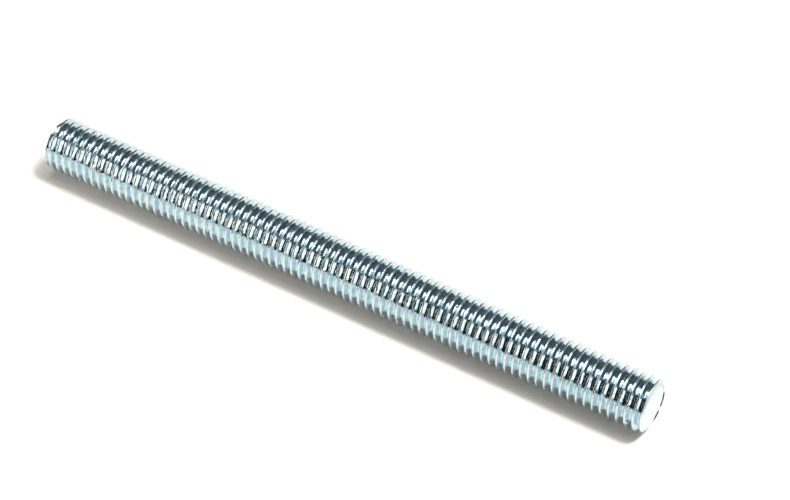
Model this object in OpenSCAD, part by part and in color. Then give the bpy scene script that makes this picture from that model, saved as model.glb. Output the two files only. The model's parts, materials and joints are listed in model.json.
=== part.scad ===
// Threaded rod: a plain steel rod with one coarse metric thread along its whole length.
// It is cut off square and chamfered at both ends.
// It lies along X on a flat surface. The origin is on that surface, under the middle of the rod.
// Millimetres, +Z up.

/* [Rod] */
// Length from end face to end face
rod_length = 120; // [40:1:160]
// Diameter over the crests of the thread
crest_d = 9.85; // [8:0.05:16]

/* [Thread] */
// How far the thread climbs along the rod in one turn
pitch = 1.5; // [1:0.05:2]
// Angle between the two flanks of a groove
flank_angle = 60; // [50:1:70]
// Share of the sharp triangle's height that is missing at the crest
crest_cut = 0.125; // [0.1:0.005:0.2]
// Share of the sharp triangle's height that is filled in at the root
root_fill = 0.165; // [0.125:0.005:0.25]
// Angle round the rod at which a crest runs out on the end face, from the underside
start_angle = 300; // [0:5:355]

/* [Ends] */
// Height of the chamfer, from the crests down to the rim of the end face
chamfer_height = 0.6; // [0.2:0.05:0.9]
// Slope of the chamfer against the rod's axis
chamfer_angle = 45; // [30:1:60]

/* [Surface] */
// Most triangles that the thread may take
face_budget = 11600; // [4000:100:12000]

/* [Hidden] */

crest_r = crest_d / 2;
sharp_height = pitch / (2 * tan(flank_angle / 2));
root_r = crest_r - sharp_height * (1 - crest_cut - root_fill);
half_crest = crest_cut * pitch / 2;
half_root = root_fill * pitch / 2;
end_r = crest_r - chamfer_height;
end_x = rod_length / 2;

// The four edges of one turn's profile, each as a place along the rod and a radius
profile = [
    [-half_crest, crest_r],
    [half_crest, crest_r],
    [pitch / 2 - half_root, root_r],
    [pitch / 2 + half_root, root_r]
];
edges = len(profile);
turns = rod_length / pitch;

// Each cell between two edges and two steps is two triangles, and an even count of steps
// puts a flat both under and over the rod
steps = 2 * floor(face_budget / (turns * edges * 4));
step_angle = 360 / steps;

// Whole turns by which the edge lines begin and end beyond the rod, so that they run out of it
spare_turns = 2;
lines = edges * (ceil(turns) + 2 * spare_turns + 1);

// An edge closer to an end face than this is taken as lying on it
end_margin = pitch / 50;

// The rod rests on the flat between its two lowest steps
axis_z = crest_r * cos(step_angle / 2);

// Angle of a step round the rod, from +Y, with the first step just past the underside
function turn_angle(step) = -90 + (step + 0.5) * step_angle;

// Place along the rod of an edge line at a step: a right-hand helix
function line_x(line, step) =
    -end_x - pitch * (spare_turns + start_angle / 360)
    + pitch * floor(line / edges)
    + profile[line % edges][0]
    + pitch * (step + 0.5) / steps;

// Radius of the chamfer's cone at a place along the rod
function chamfer_r(x) = end_r + (end_x - abs(x)) * tan(chamfer_angle);

// Radius of the thread at the far (-X) or near (+X) end face, by the distance from the
// middle of the nearest crest
function crest_distance(x, step) =
    let (t = (x + end_x) / pitch + start_angle / 360 - (step + 0.5) / steps)
    pitch * abs(t + 0.5 - floor(t + 0.5) - 0.5);
function thread_r(x, step) =
    let (down = (crest_distance(x, step) - half_crest) / tan(flank_angle / 2))
    crest_r - min(max(down, 0), crest_r - root_r);

function ring_point(x, r, step) =
    [x, r * cos(turn_angle(step)), axis_z + r * sin(turn_angle(step))];

// Points: for each step, one on the -X face, one on the +X face, then one on each edge line
column = lines + 2;
points = [
    for (step = [0:steps - 1]) each concat(
        [for (x = [-end_x, end_x]) ring_point(x, min(end_r, thread_r(x, step)), step)],
        [for (line = [0:lines - 1])
            let (x = line_x(line, step))
            ring_point(x, min(profile[line % edges][1], chamfer_r(x)), step)]
    )
];

// Number of the point where an edge line crosses a step. Past the last step a line goes on
// as the line one turn further, and past an end face it stays on that face's rim.
function point_at(line, step) =
    step == steps ? point_at(line + edges, 0)
    : line_x(line, step) < -end_x + end_margin ? step * column
    : line_x(line, step) > end_x - end_margin ? step * column + 1
    : step * column + 2 + line;

function is_face(f) = f[0] != f[1] && f[1] != f[2] && f[2] != f[0];

cells = [
    for (step = [0:steps - 1], line = [0:lines - edges - 2])
        [point_at(line, step), point_at(line + 1, step),
         point_at(line + 1, step + 1), point_at(line, step + 1)]
];
faces = concat(
    [for (c = cells) each [for (f = [[c[0], c[1], c[2]], [c[0], c[2], c[3]]]) if (is_face(f)) f]],
    [[for (step = [0:steps - 1]) step * column]],
    [[for (step = [steps - 1:-1:0]) step * column + 1]]
);

module threaded_rod() {
    color("lightsteelblue") polyhedron(points = points, faces = faces, convexity = 10);
}

threaded_rod();
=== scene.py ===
"""A zinc-plated threaded rod lying on the white floor of a dim studio.

Lengths in the constants are millimetres and angles are degrees, unless a comment says otherwise.
"""
import json
import math
import bpy
import numpy as np
from mathutils import Matrix, Vector

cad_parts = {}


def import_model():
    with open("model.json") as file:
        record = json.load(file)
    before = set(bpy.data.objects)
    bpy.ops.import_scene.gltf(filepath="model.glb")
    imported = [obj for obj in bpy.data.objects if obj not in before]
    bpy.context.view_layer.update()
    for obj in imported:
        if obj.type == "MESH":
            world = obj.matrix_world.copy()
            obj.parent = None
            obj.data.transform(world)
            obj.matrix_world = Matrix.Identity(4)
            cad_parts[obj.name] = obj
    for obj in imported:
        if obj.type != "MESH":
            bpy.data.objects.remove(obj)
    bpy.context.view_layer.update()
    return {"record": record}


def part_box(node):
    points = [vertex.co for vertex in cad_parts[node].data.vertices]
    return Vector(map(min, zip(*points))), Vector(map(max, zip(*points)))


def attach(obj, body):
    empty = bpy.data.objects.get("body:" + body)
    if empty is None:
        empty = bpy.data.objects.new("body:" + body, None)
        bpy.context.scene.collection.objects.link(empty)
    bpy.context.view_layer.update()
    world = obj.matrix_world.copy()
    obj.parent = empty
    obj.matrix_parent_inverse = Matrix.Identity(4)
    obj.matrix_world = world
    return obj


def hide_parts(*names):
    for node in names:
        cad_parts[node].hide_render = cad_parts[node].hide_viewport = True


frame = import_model()

MM = 0.001
rng = np.random.default_rng(20)

# The rod's length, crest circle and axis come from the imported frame
rod_low, rod_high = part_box("threaded_rod")
thread_mount = next(m for m in frame["record"]["mounts"] if m["name"] == "thread")
ROD_LENGTH = (rod_high.x - rod_low.x) / MM
CREST_RADIUS = thread_mount["dims"]["r_mm"]
AXIS_HEIGHT = thread_mount["pos_m"][2] / MM
END_X = ROD_LENGTH / 2

# Rolled coarse thread: flanks tilted 60 degrees from the rod's axis, and a narrow flat with
# rounded corners on crest and root. A crest runs out on the end faces at the start angle.
PITCH = 1.5
FLANK_SLOPE = math.tan(math.radians(60))
HALF_CREST = PITCH / 16
CREST_ROUND = 0.1
HALF_ROOT = 0.0825 * PITCH
ROOT_ROUND = 0.07
ROOT_DEPTH = (PITCH / 2 - HALF_CREST - HALF_ROOT) * FLANK_SLOPE
START_ANGLE = 300

# The fold that rolling leaves along the middle of a crest
SEAM_DEPTH = 0.035
SEAM_WIDTH = 0.045

# Chamfer, and how far its finish is that of the cut face
CHAMFER = 0.6
CHAMFER_CUT = 0.8
END_RADIUS = CREST_RADIUS - CHAMFER

# Rings of an end face, from the rim inwards: shares of the rim's radius, and of the burr's height
# that each loses. The last ones are plain cut metal, and painted shade beside the burr covers those
# named.
RING_RADIUS = (1.0, 0.985, 0.955, 0.905, 0.88, 0.6, 0.3)
RING_LOSS = (0.5, 0.0, 1.0, 1.0, 1.0, 1.0, 1.0)
PLAIN_RINGS = 4
PAINTED_SHADE_RINGS = (1, 2, 3)

# The burr's height, and the middle and reach of its arc as shares of a turn from the underside
BURR_HEIGHT = 0.14
BURR_MIDDLE = 0.17
BURR_REACH = 0.1

# How far its bell shape is raised before it is cut off at the full height, and the strength,
# wavelength and count of the waves that leave gaps in it
BURR_STRENGTH = 1.6
BURR_GAPS = 1.6
BURR_WAVE = 1.6
BURR_WAVES = 8

# A point of the thread closer to an end face than this is taken as lying on its rim
END_MARGIN = BURR_HEIGHT + 0.01

# Rolling marks: their depth, the wavelengths of a long and a short set and the short one's
# share, how much longer they are along the thread than across it, and the waves in a set
MARK_DEPTH = 0.018
LONG_MARK = 2.4
SHORT_MARK = 0.7
SHORT_SHARE = 0.4
MARK_STRETCH = 3
MARK_WAVES = 14

# Depth over which the crest's finish fades into the flank's, and the patches it is worn in
CREST_FADE = 0.16
WEAR_LENGTH = 3.0
WEAR_MEAN = 0.75
WEAR_SPREAD = 0.35
WEAR_WAVES = 10

# Shortest and longest wavelength of any set of waves, as shares of the named one
WAVE_SPREAD = (0.7, 1.5)

# Dents that the crests take in handling: how many, and the range of half widths and depths
NICKS = 110
NICK_WIDTH = (0.12, 0.4)
NICK_DEPTH = (0.03, 0.16)

# Grid: steps round the rod, as shares of a turn from the underside, points across one turn, and
# how far these are drawn together at crest and root. The lines begin and end some whole turns
# beyond the rod, so that they run out of it.
STEPS = 72
STEP_TURN = (np.arange(STEPS) + 0.5) / STEPS
PROFILE_POINTS = 16
CLUSTER = 0.62
SPARE_TURNS = 2


def linear(hex_colour):
    """sRGB hex text, such as "#D5EAED", as linear red, green, blue and alpha."""
    parts = [int(hex_colour[i:i + 2], 16) / 255 for i in (1, 3, 5)]
    return tuple(c / 12.92 if c <= 0.04045 else ((c + 0.055) / 1.055) ** 2.4 for c in parts) + (1.0,)


def add_node(tree, kind, sockets=None, **settings):
    """Adds a node with its properties. sockets gives inputs a value, or the output to link."""
    made = tree.nodes.new(kind)
    for name, value in settings.items():
        setattr(made, name, value)
    for key, value in (sockets or {}).items():
        if isinstance(value, bpy.types.NodeSocket):
            tree.links.new(value, made.inputs[key])
        else:
            made.inputs[key].default_value = value
    return made


def smooth_max(a, b, band):
    """The larger of a and b, with the corner where they cross rounded over a band."""
    return np.maximum(a, b) + np.maximum(band - np.abs(a - b), 0) ** 2 / (4 * band)


def thread_drop(distance):
    """Depth below the crest circle, by the distance along the rod from a crest's middle.

    Zero on the crest, a straight line down the flank and a constant depth on the root, with
    their corners rounded. A narrow bell-shaped seam runs along the crest's middle.
    """
    flank = smooth_max((distance - HALF_CREST) * FLANK_SLOPE, 0, CREST_ROUND)
    drop = -smooth_max(-flank, -ROOT_DEPTH, ROOT_ROUND)
    return drop + SEAM_DEPTH * np.exp(-(distance / SEAM_WIDTH) ** 2)


def crest_distance(x, turn):
    """Distance along the rod from x to the nearest crest, at a share of a turn round it."""
    crest = (x + END_X) / PITCH + START_ANGLE / 360 - turn
    return PITCH * np.abs(crest + 0.5 - np.floor(crest + 0.5) - 0.5)


def chamfer_radius(x):
    """Radius of the 45 degree cone at each end, at a place along the rod."""
    return END_RADIUS + END_X - np.abs(x)


def waves(u, v, length, count):
    """Unevenness between about -1 and 1: the mean of sine waves across (u, v), scaled up.

    Each wave has a seeded direction and phase and a wavelength near the given length.
    """
    total = np.zeros(np.broadcast(u, v).shape)
    for _ in range(count):
        angle, phase = rng.uniform(0, 2 * math.pi, 2)
        number = 2 * math.pi / (length * rng.uniform(*WAVE_SPREAD))
        total += np.sin(number * (u * math.cos(angle) + v * math.sin(angle)) + phase)
    return total / math.sqrt(count)


def crest_nicks(run):
    """Depth of the dents in the crests, by the run along the thread in turns.

    Each dent is a bell shape at a seeded place along the thread.
    """
    place = rng.uniform(run.min(), run.max(), NICKS)
    half_width = rng.uniform(*NICK_WIDTH, NICKS) / (2 * math.pi * CREST_RADIUS)
    depth = rng.uniform(*NICK_DEPTH, NICKS)
    total = np.zeros(run.shape)
    for at, half, deep in zip(place, half_width, depth):
        total += deep * np.exp(-((run - at) / half) ** 2)
    return total


def thread_grid():
    """Places along the rod, radii and looks (see rod_surface) of the thread, by line and step.

    Lines run across the thread's profile, closest at crest and root, and steps run round the
    rod, while each line climbs one pitch a turn. The radius is the crest circle less the
    profile's drop, the rolling marks and the dents, and it stays inside the chamfers' cones.
    """
    even = np.arange(PROFILE_POINTS) / PROFILE_POINTS - 0.5
    places = PITCH * (even - CLUSTER * np.sin(4 * math.pi * even) / (4 * math.pi))
    turns = math.ceil(ROD_LENGTH / PITCH) + 2 * SPARE_TURNS + 2
    turn_number, spot = np.divmod(np.arange(PROFILE_POINTS * turns), PROFILE_POINTS)
    run = turn_number[:, None] + STEP_TURN
    place = places[spot][:, None]
    x = -END_X - PITCH * (SPARE_TURNS + START_ANGLE / 360) + PITCH * run + place
    around = 2 * math.pi * CREST_RADIUS * run
    drop = thread_drop(np.abs(place))
    crest = np.exp(-(drop / CREST_FADE) ** 2)
    across = MARK_STRETCH * place
    marks = waves(around, across, LONG_MARK, MARK_WAVES)
    marks = marks + SHORT_SHARE * waves(around, across, SHORT_MARK, MARK_WAVES)
    radius = CREST_RADIUS - drop + MARK_DEPTH * (marks - 1) - crest * crest_nicks(run)
    worn = np.clip(WEAR_MEAN + WEAR_SPREAD * waves(around, place, WEAR_LENGTH, WEAR_WAVES), 0, 1)
    cone = chamfer_radius(x)
    track = x - PITCH * STEP_TURN
    cut = CHAMFER_CUT * (radius > cone)
    looks = np.stack([crest * worn, cut, np.zeros_like(x), track], -1)
    return x, np.minimum(radius, cone), looks


def end_face(side, first):
    """Points, looks (see rod_surface) and triangles of the end face at -X (side -1) or +X (1).

    Rings shrink from the rim to the middle. The cut leaves a burr inside the rim, where the
    blade came out, and a dark line of painted shade beside it, for the burr's shaded side. The
    burr's height is a bell shape round the rim with seeded waves in it, and the plain face lies
    one burr height back from the rod's end.
    first is the number of the face's first point.
    """
    thread = CREST_RADIUS - thread_drop(crest_distance(side * END_X, STEP_TURN))
    rim = np.minimum(END_RADIUS, thread)
    shrink = np.array(RING_RADIUS)[:, None]
    lost = np.array(RING_LOSS)[:, None]
    around = 2 * math.pi * END_RADIUS * STEP_TURN
    gaps = 1 + BURR_GAPS * waves(around, 0.0, BURR_WAVE, BURR_WAVES)
    bell = np.exp(-((STEP_TURN - BURR_MIDDLE) / BURR_REACH) ** 2)
    burr = np.clip(BURR_STRENGTH * gaps * bell, 0, 1)
    x = side * (END_X - BURR_HEIGHT * np.maximum(lost, 1 - burr))
    radius = shrink * rim
    points = ring_points(x, radius).reshape(-1, 3)
    points = np.concatenate([points, [[side * (END_X - BURR_HEIGHT), 0, 0]]])
    number = first + np.arange(radius.size).reshape(radius.shape)
    number = np.concatenate([number, number[:, :1]], 1)
    cut = np.arange(len(points)) >= (len(RING_RADIUS) - PLAIN_RINGS) * STEPS
    # Painted shade: the rings beside the burr get a dark line, as strong as the burr is high there
    painted_shade = np.zeros(len(points))
    for ring in PAINTED_SHADE_RINGS:
        painted_shade[ring * STEPS:(ring + 1) * STEPS] = burr
    looks = np.stack([np.zeros_like(painted_shade), cut, painted_shade, points[:, 0]], -1)
    inner = number[-1]
    middle = np.full(STEPS, first + radius.size)
    triangles = np.concatenate([
        grid_triangles(number),
        np.stack([inner[1:], inner[:-1], middle], -1),
    ])
    if side > 0:
        triangles = triangles[:, ::-1]
    return points, looks, triangles


def ring_points(x, radius):
    """Points at places along the rod and radii, for each step round it.

    The steps count from the underside, a quarter of a turn before +Y.
    """
    angle = 2 * math.pi * (STEP_TURN - 0.25)
    return np.stack(np.broadcast_arrays(x, radius * np.cos(angle), radius * np.sin(angle)), -1)


def grid_triangles(number):
    """Two triangles for each cell of a grid of point numbers."""
    a, b = number[:-1, :-1].ravel(), number[1:, :-1].ravel()
    c, d = number[1:, 1:].ravel(), number[:-1, 1:].ravel()
    return np.concatenate([np.stack([a, b, c], -1), np.stack([a, c, d], -1)])


def rod_surface():
    """Points in millimetres, their looks and triangles of the rod's closed surface.

    The looks are a column each of crest amount, cut amount, painted shade amount and track,
    which is the place along the rod with the thread's climb within the turn taken off. Past the
    last step, a line of the thread goes on as the same line one turn further. Points past an end
    face are taken as the point of that face's rim at the same step, and the triangles that
    this folds flat are left out.
    """
    x, radius, thread_looks = thread_grid()
    points, triangles = [ring_points(x, radius).reshape(-1, 3)], []
    looks = [thread_looks.reshape(-1, 4)]
    number = np.arange(x.size).reshape(x.shape)
    for side in (-1, 1):
        first = sum(len(part) for part in points)
        number = np.where(side * x > END_X - END_MARGIN, first + np.arange(STEPS), number)
        face_points, face_looks, face_triangles = end_face(side, first)
        points.append(face_points)
        looks.append(face_looks)
        triangles.append(face_triangles)
    number = np.concatenate([number[:-PROFILE_POINTS], number[PROFILE_POINTS:, :1]], 1)
    sides = grid_triangles(number)[:, ::-1]
    triangles.append(sides[np.all(sides != np.roll(sides, 1, 1), 1)])
    used, faces = np.unique(np.concatenate(triangles), return_inverse=True)
    points = np.concatenate(points) + (0, 0, AXIS_HEIGHT)
    return points[used], np.concatenate(looks)[used], faces.reshape(-1, 3)


def mesh_object(name, points, faces, material):
    """An object at the origin with a smooth-shaded mesh in metres."""
    mesh = bpy.data.meshes.new(name)
    mesh.from_pydata(np.asarray(points).tolist(), [], np.asarray(faces).tolist())
    mesh.polygons.foreach_set("use_smooth", np.ones(len(mesh.polygons), bool))
    mesh.materials.append(material)
    mesh.update()
    made = bpy.data.objects.new(name, mesh)
    bpy.context.scene.collection.objects.link(made)
    return made


# Sizes in the plating's pattern: grain of the rolled steel, cloudy tone of the plating and the
# streaks that rolling leaves along the thread. Real streaks are finer, and are drawn this coarse
# so that they show. The heights are of the grain's flecks and of the streaks.
GRAIN = 0.5
CLOUD = 0.8
STREAK_WIDTH = 0.12
STREAK_LENGTH = 2.5
FLECK_HEIGHT = 0.014
STREAK_HEIGHT = 0.03

# Noise values between which the tone goes from one to the other, and a fleck rises
CLOUD_EDGE = (0.35, 0.65)
FLECK_EDGE = (0.55, 0.72)

# How much of the streaks' height shows on the flanks
FLANK_STREAKS = 0.08

# Roughness of bright plating on the flanks, where it is scuffed, and on cut metal
FLANK_HAZE = 0.1
SCUFFED_HAZE = 0.3
CUT_HAZE = 0.4

# Colours: the plating's two tones, scuffed plating, cut metal and the painted shade line by the burr
BLUE_TONE = "#B4CCDC"
PALE_TONE = "#D2E3E4"
SCUFFED = "#D9E4EA"
CUT_METAL = "#EAF7F7"
# Painted shade: near black, for the shaded side of the burr
PAINTED_SHADE_COLOUR = "#14282B"


def attribute(tree, name):
    """The value of one of the rod's point attributes."""
    return add_node(tree, "ShaderNodeAttribute", attribute_name=name).outputs["Fac"]


def streak_height(tree, place):
    """Noise stretched along the thread: its track is squeezed, and the way round is drawn out."""
    apart = add_node(tree, "ShaderNodeSeparateXYZ", {"Vector": place})
    track = add_node(
        tree,
        "ShaderNodeMath",
        {0: attribute(tree, "track"), 1: 1 / STREAK_WIDTH},
        operation="MULTIPLY",
    )
    along = 1 / (STREAK_LENGTH * MM)
    around = [
        add_node(tree, "ShaderNodeMath", {0: apart.outputs[k], 1: along}, operation="MULTIPLY")
        for k in ("Y", "Z")
    ]
    spot = add_node(
        tree,
        "ShaderNodeCombineXYZ",
        {"X": track.outputs[0], "Y": around[0].outputs[0], "Z": around[1].outputs[0]},
    )
    return add_node(
        tree,
        "ShaderNodeTexNoise",
        {"Vector": spot.outputs[0], "Scale": 1.0, "Detail": 2.0},
    )


def zinc_plate():
    """Bright blue-white zinc plating on rolled steel: a cold, slightly hazy mirror.

    The crests are scuffed and hazier, the cut ends are pale and nearly matt, and the line
    beside their burr is painted dark as painted shade.
    """
    material = bpy.data.materials.new("bright_zinc_plate")
    material.use_nodes = True
    tree = material.node_tree
    tree.nodes.clear()
    place = add_node(tree, "ShaderNodeTexCoord").outputs["Object"]
    grain = add_node(
        tree,
        "ShaderNodeTexNoise",
        {"Vector": place, "Scale": 1 / (GRAIN * MM), "Detail": 3.0},
    )
    cloud = add_node(
        tree,
        "ShaderNodeTexNoise",
        {"Vector": place, "Scale": 1 / (CLOUD * MM), "Detail": 2.0},
    )
    patch = add_node(
        tree,
        "ShaderNodeMapRange",
        {"Value": cloud.outputs["Fac"], "From Min": CLOUD_EDGE[0], "From Max": CLOUD_EDGE[1]},
    )
    tone = add_node(
        tree,
        "ShaderNodeMix",
        {"Factor": patch.outputs["Result"], "A": linear(BLUE_TONE), "B": linear(PALE_TONE)},
        data_type="RGBA",
    )
    crest, cut = attribute(tree, "crest"), attribute(tree, "cut")
    scuffed = add_node(
        tree,
        "ShaderNodeMix",
        {"Factor": crest, "A": tone.outputs["Result"], "B": linear(SCUFFED)},
        data_type="RGBA",
    )
    pale = add_node(
        tree,
        "ShaderNodeMix",
        {"Factor": cut, "A": scuffed.outputs["Result"], "B": linear(CUT_METAL)},
        data_type="RGBA",
    )
    # Painted shade: the line beside the burr is mixed towards near black
    colour = add_node(
        tree,
        "ShaderNodeMix",
        {
            "Factor": attribute(tree, "painted_shade"),
            "A": pale.outputs["Result"],
            "B": linear(PAINTED_SHADE_COLOUR),
        },
        data_type="RGBA",
    )
    crest_haze = add_node(
        tree,
        "ShaderNodeMapRange",
        {"Value": crest, "To Min": FLANK_HAZE, "To Max": SCUFFED_HAZE},
    )
    haze = add_node(
        tree,
        "ShaderNodeMix",
        {"Factor": cut, "A": crest_haze.outputs["Result"], "B": CUT_HAZE},
    )
    fleck = add_node(
        tree,
        "ShaderNodeMapRange",
        {"Value": grain.outputs["Fac"], "From Min": FLECK_EDGE[0], "From Max": FLECK_EDGE[1]},
        interpolation_type="SMOOTHSTEP",
    )
    rough = add_node(
        tree,
        "ShaderNodeBump",
        {"Height": fleck.outputs["Result"], "Strength": 1.0, "Distance": FLECK_HEIGHT * MM},
    )
    scuffs = add_node(
        tree,
        "ShaderNodeMapRange",
        {"Value": crest, "To Min": FLANK_STREAKS, "To Max": 1.0},
    )
    streaked = add_node(
        tree,
        "ShaderNodeBump",
        {
            "Height": streak_height(tree, place).outputs["Fac"],
            "Strength": scuffs.outputs["Result"],
            "Distance": STREAK_HEIGHT * MM,
            "Normal": rough.outputs["Normal"],
        },
    )
    metal = add_node(
        tree,
        "ShaderNodeBsdfPrincipled",
        {
            "Base Color": colour.outputs["Result"],
            "Metallic": 1.0,
            "Roughness": haze.outputs["Result"],
            "Normal": streaked.outputs["Normal"],
        },
    )
    add_node(tree, "ShaderNodeOutputMaterial", {"Surface": metal.outputs["BSDF"]})
    return material


def threaded_rod():
    """The rod with its rolled thread, in the place of the plain CAD node."""
    points, looks, faces = rod_surface()
    rod = mesh_object("rolled_rod", points * MM, faces, zinc_plate())
    # The third attribute is the painted shade line beside the burr
    for name, amounts in zip(("crest", "cut", "painted_shade", "track"), looks.T):
        made = rod.data.attributes.new(name, "FLOAT", "POINT")
        made.data.foreach_set("value", amounts.copy())
    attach(rod, "root")
    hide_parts("threaded_rod")
    return rod


# Floor in metres: its size, and how far from the rod its glow begins and is full
FLOOR_SIZE = 8.0
FLOOR_NEAR = 0.12
FLOOR_FAR = 0.6

# Colours of the floor's glow and of the world, and of the card
WHITE = "#FFFFFF"
CARD_WHITE = "#FCF9F3"

# Surround: its radius in metres, its rings from floor to top, its turn from one column of points
# to the next, and its tint
SURROUND_RADIUS = 3.9
SURROUND_RINGS = 13
SURROUND_TURN = 10
SURROUND_TINT = "#E2F0F5"

# Its glow at the front (-Y), at the back and, added in front alone, past the rod's far end (-X)
FRONT_GLOW = 0.008
BACK_GLOW = 0.15
SIDE_GLOW = 0.15

# Where each glow begins and is full, as shares of the radius along Y, X and again Y
BACK_RANGE = (-0.7, 0.3)
SIDE_RANGE = (-0.26, -0.6)
FRONT_RANGE = (0.1, -0.4)


def white_floor():
    """White card floor, which glows a little away from the rod where the lamps fall off."""
    material = bpy.data.materials.new("white_card_floor")
    material.use_nodes = True
    tree = material.node_tree
    tree.nodes.clear()
    place = add_node(tree, "ShaderNodeTexCoord").outputs["Object"]
    distance = add_node(tree, "ShaderNodeVectorMath", {0: place}, operation="LENGTH")
    far = add_node(
        tree,
        "ShaderNodeMapRange",
        {"Value": distance.outputs["Value"], "From Min": FLOOR_NEAR, "From Max": FLOOR_FAR},
        interpolation_type="SMOOTHSTEP",
    )
    path = add_node(tree, "ShaderNodeLightPath")
    seen = add_node(
        tree,
        "ShaderNodeMath",
        {0: path.outputs["Is Camera Ray"], 1: path.outputs["Is Glossy Ray"]},
        operation="MAXIMUM",
    )
    seen = add_node(
        tree,
        "ShaderNodeMath",
        {0: seen.outputs[0], 1: path.outputs["Is Transmission Ray"]},
        operation="MAXIMUM",
    )
    strength = add_node(
        tree,
        "ShaderNodeMath",
        {0: far.outputs["Result"], 1: seen.outputs[0]},
        operation="MULTIPLY",
    )
    glow = add_node(
        tree,
        "ShaderNodeEmission",
        {"Color": linear(WHITE), "Strength": strength.outputs[0]},
    )
    card = add_node(tree, "ShaderNodeBsdfDiffuse", {"Color": linear(CARD_WHITE)})
    both = add_node(tree, "ShaderNodeAddShader", {0: card.outputs[0], 1: glow.outputs[0]})
    add_node(tree, "ShaderNodeOutputMaterial", {"Surface": both.outputs[0]})
    half = FLOOR_SIZE / 2

    # The drawn crests are round, and reach a little lower than the solid's flats
    height = min(rod_low.z, (AXIS_HEIGHT - CREST_RADIUS) * MM)
    corners = [(x * half, y * half, height) for x, y in ((-1, -1), (1, -1), (1, 1), (-1, 1))]
    mesh_object("floor", corners, [(0, 1, 2, 3)], material)


def dim_surround():
    """Half dome of dark studio over the rod, which the metal mirrors and the camera sees through.

    A point is the radius times the cosines and sine of its height and turn.
    """
    material = bpy.data.materials.new("dim_studio_wall")
    material.use_nodes = True
    tree = material.node_tree
    tree.nodes.clear()
    place = add_node(tree, "ShaderNodeTexCoord").outputs["Object"]
    apart = add_node(tree, "ShaderNodeSeparateXYZ", {"Vector": place})
    to_back = add_node(
        tree,
        "ShaderNodeMapRange",
        {
            "Value": apart.outputs["Y"],
            "From Min": BACK_RANGE[0] * SURROUND_RADIUS,
            "From Max": BACK_RANGE[1] * SURROUND_RADIUS,
            "To Min": FRONT_GLOW,
            "To Max": BACK_GLOW,
        },
    )
    to_side = add_node(
        tree,
        "ShaderNodeMapRange",
        {
            "Value": apart.outputs["X"],
            "From Min": SIDE_RANGE[0] * SURROUND_RADIUS,
            "From Max": SIDE_RANGE[1] * SURROUND_RADIUS,
            "To Min": 0.0,
            "To Max": SIDE_GLOW,
        },
        interpolation_type="SMOOTHSTEP",
    )
    to_front = add_node(
        tree,
        "ShaderNodeMapRange",
        {
            "Value": apart.outputs["Y"],
            "From Min": FRONT_RANGE[0] * SURROUND_RADIUS,
            "From Max": FRONT_RANGE[1] * SURROUND_RADIUS,
        },
    )
    strength = add_node(
        tree,
        "ShaderNodeMath",
        {
            0: to_side.outputs["Result"],
            1: to_front.outputs["Result"],
            2: to_back.outputs["Result"],
        },
        operation="MULTIPLY_ADD",
    )
    wall = add_node(
        tree,
        "ShaderNodeEmission",
        {"Color": linear(SURROUND_TINT), "Strength": strength.outputs[0]},
    )
    add_node(tree, "ShaderNodeOutputMaterial", {"Surface": wall.outputs[0]})
    height, turn = np.meshgrid(
        np.radians(np.linspace(0, 90, SURROUND_RINGS)),
        np.radians(np.arange(0, 360, SURROUND_TURN)),
        indexing="ij",
    )
    points = SURROUND_RADIUS * np.stack(
        [np.cos(height) * np.cos(turn), np.cos(height) * np.sin(turn), np.sin(height)], -1
    )
    number = np.arange(height.size).reshape(height.shape)
    after = np.roll(number, -1, 1)
    cells = np.stack([number[:-1], number[1:], after[1:], after[:-1]], -1)
    dome = mesh_object("surround", points.reshape(-1, 3), cells.reshape(-1, 4), material)
    dome.visible_camera = False


def softbox(name, shape, centre, size, long_side, radiance, colour):
    """Soft lamp that faces the rod, by its centre and size in metres and its radiance.

    long_side is about the direction along which the second size is laid. The radiance is the
    mean over the rectangle of that size.
    """
    lamp = bpy.data.lights.new(name, "AREA")
    lamp.shape = shape
    lamp.color = linear(colour)[:3]
    lamp.size, lamp.size_y = size
    lamp.energy = radiance * math.pi * size[0] * size[1]
    made = bpy.data.objects.new(name, lamp)
    back = Vector(centre).normalized()
    right = Vector(long_side).cross(back).normalized()
    turned = Matrix((right, back.cross(right), back)).transposed().to_4x4()
    made.matrix_world = Matrix.Translation(centre) @ turned
    bpy.context.scene.collection.objects.link(made)


def world():
    """Plain white, seen by the camera past the floor's edge."""
    sky = bpy.data.worlds.new("white_backdrop")
    sky.use_nodes = True
    tree = sky.node_tree
    tree.nodes.clear()
    white = add_node(tree, "ShaderNodeBackground", {"Color": linear(WHITE), "Strength": 1.0})
    add_node(tree, "ShaderNodeOutputWorld", {"Surface": white.outputs[0]})
    bpy.context.scene.world = sky


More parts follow.
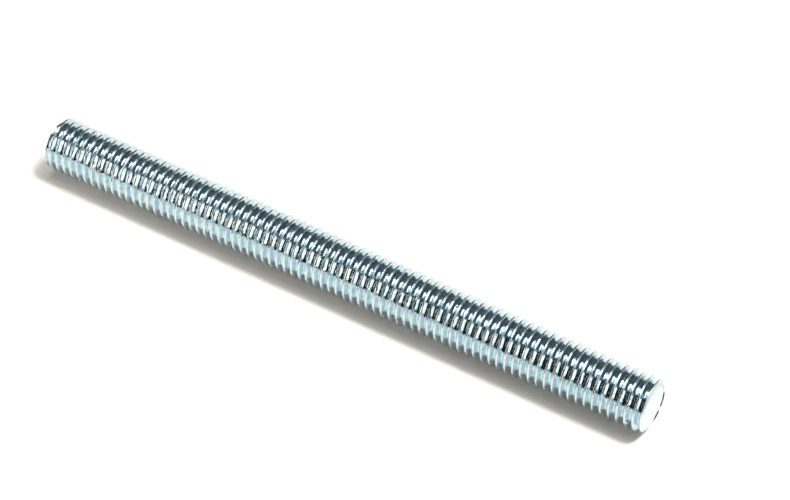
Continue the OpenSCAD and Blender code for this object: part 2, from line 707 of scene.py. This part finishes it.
# Camera of the photograph, by its turn round the rod, height above the horizon, place from the
# middle of the rod's axis, and lens and sensor
CAMERA_AZIMUTH = 30.709
CAMERA_ELEVATION = 47.748
CAMERA_PLACE = (163.42, -257.59, 340.49)
CAMERA_LENS = 120.9
CAMERA_SENSOR = 36
CAMERA_CLIP = 10


def camera():
    """The photograph's camera, turned from its azimuth and elevation."""
    data = bpy.data.cameras.new("camera")
    data.lens = CAMERA_LENS
    data.sensor_width = CAMERA_SENSOR
    data.clip_start = CAMERA_CLIP * MM
    made = bpy.data.objects.new("camera", data)
    a, e = math.radians(CAMERA_AZIMUTH), math.radians(CAMERA_ELEVATION)
    right = Vector((math.cos(a), math.sin(a), 0))
    back = Vector((math.sin(a) * math.cos(e), -math.cos(a) * math.cos(e), math.sin(e)))
    up = back.cross(right)
    place = (Vector(CAMERA_PLACE) + Vector((0, 0, AXIS_HEIGHT))) * MM
    turned = Matrix((right, up, back)).transposed().to_4x4()
    made.matrix_world = Matrix.Translation(place) @ turned
    bpy.context.scene.collection.objects.link(made)
    bpy.context.scene.camera = made


# Lamps, by shape, centre and size in metres, direction of the long side, radiance and colour.
# The overhead softbox casts the shadow, and the fill and the spill are the weaker light beside
# it. The side softbox stands close, so that its mirror image changes along the rod. The reflector
# whitens the near end.
LAMPS = {
    "overhead_softbox": (
        "RECTANGLE", (0.75, 0.41, 2.0), (0.44, 0.5), (1, 0, 0), 54.0, "#FFFEFD"
    ),
    "overhead_fill": (
        "RECTANGLE", (-0.03, 0.47, 2.0), (0.6, 0.94), (1, 0, 0), 4.8, "#FFFEFD"
    ),
    "overhead_spill": (
        "RECTANGLE", (0.4, -0.1, 2.0), (0.57, 1.9), (1, 0, 0), 2.1, "#FFFEFD"
    ),
    "side_softbox": (
        "ELLIPSE", (-0.253, -0.26, 0.196), (0.15, 0.38), (0, 0.6, 0.8), 2.8, "#FFF0E6"
    ),
    "end_reflector": (
        "RECTANGLE", (1.88, 0.5, 0.45), (1.7, 0.42), (0, 0, 1), 1.2, "#FFFFFF"
    ),
}

threaded_rod()
white_floor()
dim_surround()
for name, settings in LAMPS.items():
    softbox(name, *settings)
world()
camera()

bpy.context.scene.view_settings.view_transform = "Standard"
